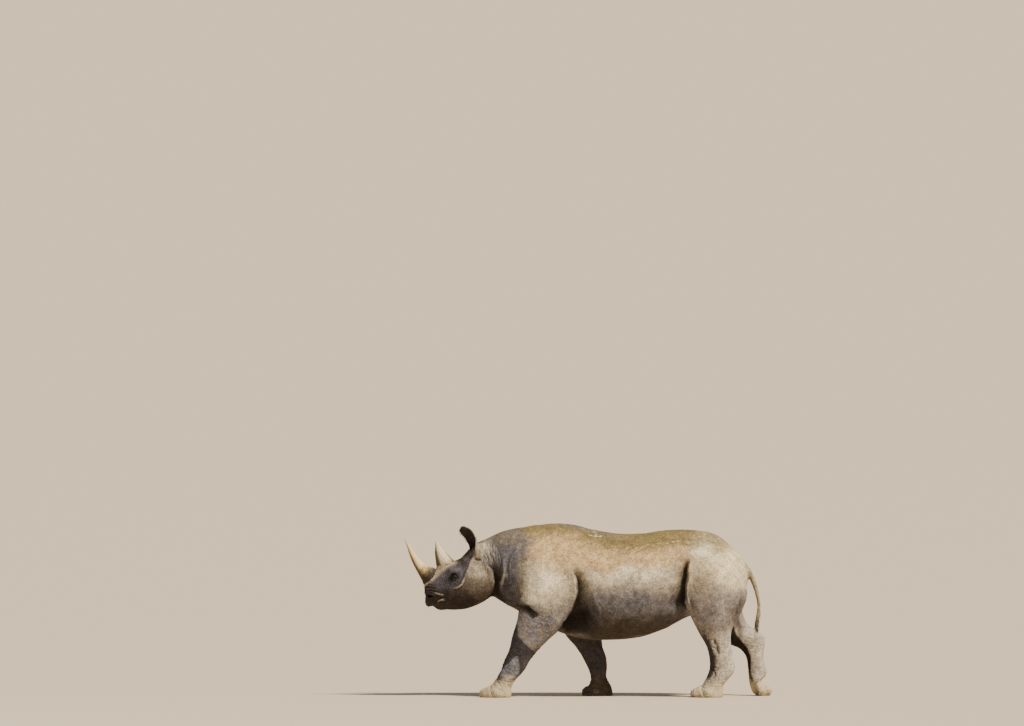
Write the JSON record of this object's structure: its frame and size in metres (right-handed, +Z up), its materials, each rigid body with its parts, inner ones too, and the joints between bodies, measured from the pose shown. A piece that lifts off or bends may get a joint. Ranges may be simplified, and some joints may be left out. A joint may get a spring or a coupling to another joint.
{
  "type": "black rhinoceros",
  "caption": "Life-size still black rhinoceros in mid stride, its head level, two horns on its nose and one hind foot pushing off.",
  "frame": {"origin": "on the ground, under the middle of the bounding box", "axes": "+X from head to tail, +Z up, -Y towards the animal's left side"},
  "size_m": [3.3998, 0.8198, 1.6061],
  "materials": {
    "skin": "bare, thick, dusty hide with fine wrinkles",
    "horn": "dull keratin, fibrous at the base",
    "nail": "dull, worn keratin",
    "eye": "wet and dark"
  },
  "bodies": {
    "root": {"head": "skin", "neck": "skin", "trunk": "skin", "tail": "skin", "ear_left": "skin", "ear_right": "skin", "eye_left": "eye", "eye_right": "eye", "horn_front": "horn", "horn_rear": "horn", "leg_fore_left": "skin", "leg_fore_right": "skin", "leg_hind_left": "skin", "leg_hind_right": "skin", "foot_fore_left": "skin", "foot_fore_right": "skin", "foot_hind_left": "skin", "foot_hind_right": "skin", "nail_fore_left_middle": "nail", "nail_fore_left_outer": "nail", "nail_fore_left_inner": "nail", "nail_fore_right_middle": "nail", "nail_fore_right_outer": "nail", "nail_fore_right_inner": "nail", "nail_hind_left_middle": "nail", "nail_hind_left_outer": "nail", "nail_hind_left_inner": "nail", "nail_hind_right_middle": "nail", "nail_hind_right_outer": "nail", "nail_hind_right_inner": "nail"}
  },
  "joints": []
}
